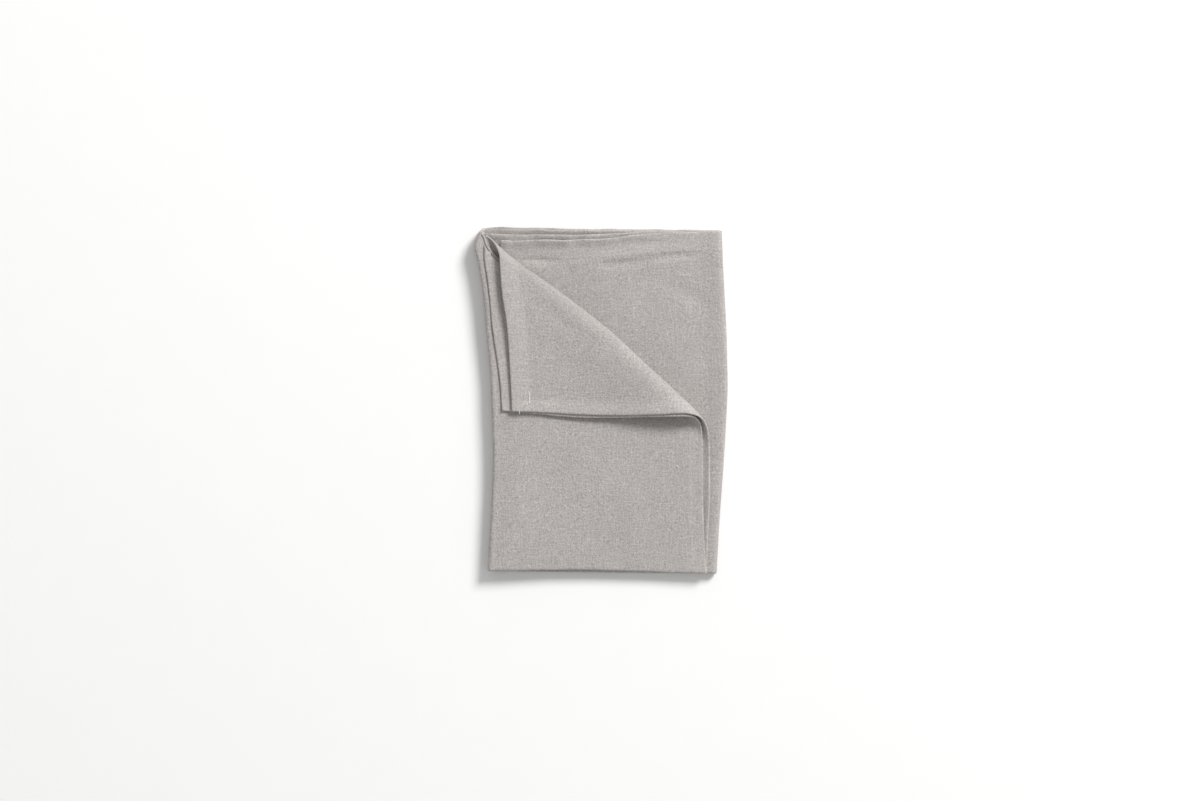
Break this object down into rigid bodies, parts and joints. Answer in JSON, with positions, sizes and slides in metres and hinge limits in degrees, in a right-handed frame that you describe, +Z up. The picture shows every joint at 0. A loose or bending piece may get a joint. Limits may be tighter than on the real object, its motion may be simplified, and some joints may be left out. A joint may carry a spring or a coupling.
{
  "type": "folded cloth napkin",
  "caption": "Square hemmed cotton napkin folded in half, then in three like a letter, lying flat with the top panel's corner turned back in a soft roll.",
  "frame": {"origin": "centre of the bounding box in plan, on the surface that the napkin lies on", "axes": "+X across the folded napkin towards its right fold, +Y along it from the half fold to the loose hems, +Z up"},
  "size_m": [0.1652, 0.2256, 0.0198],
  "materials": {
    "napkin_cloth": "matte plain-woven cotton with an uneven slub yarn, warm light grey, undyed-looking, soft and washed"
  },
  "bodies": {
    "root": {"napkin_cloth": "napkin_cloth"}
  },
  "joints": []
}
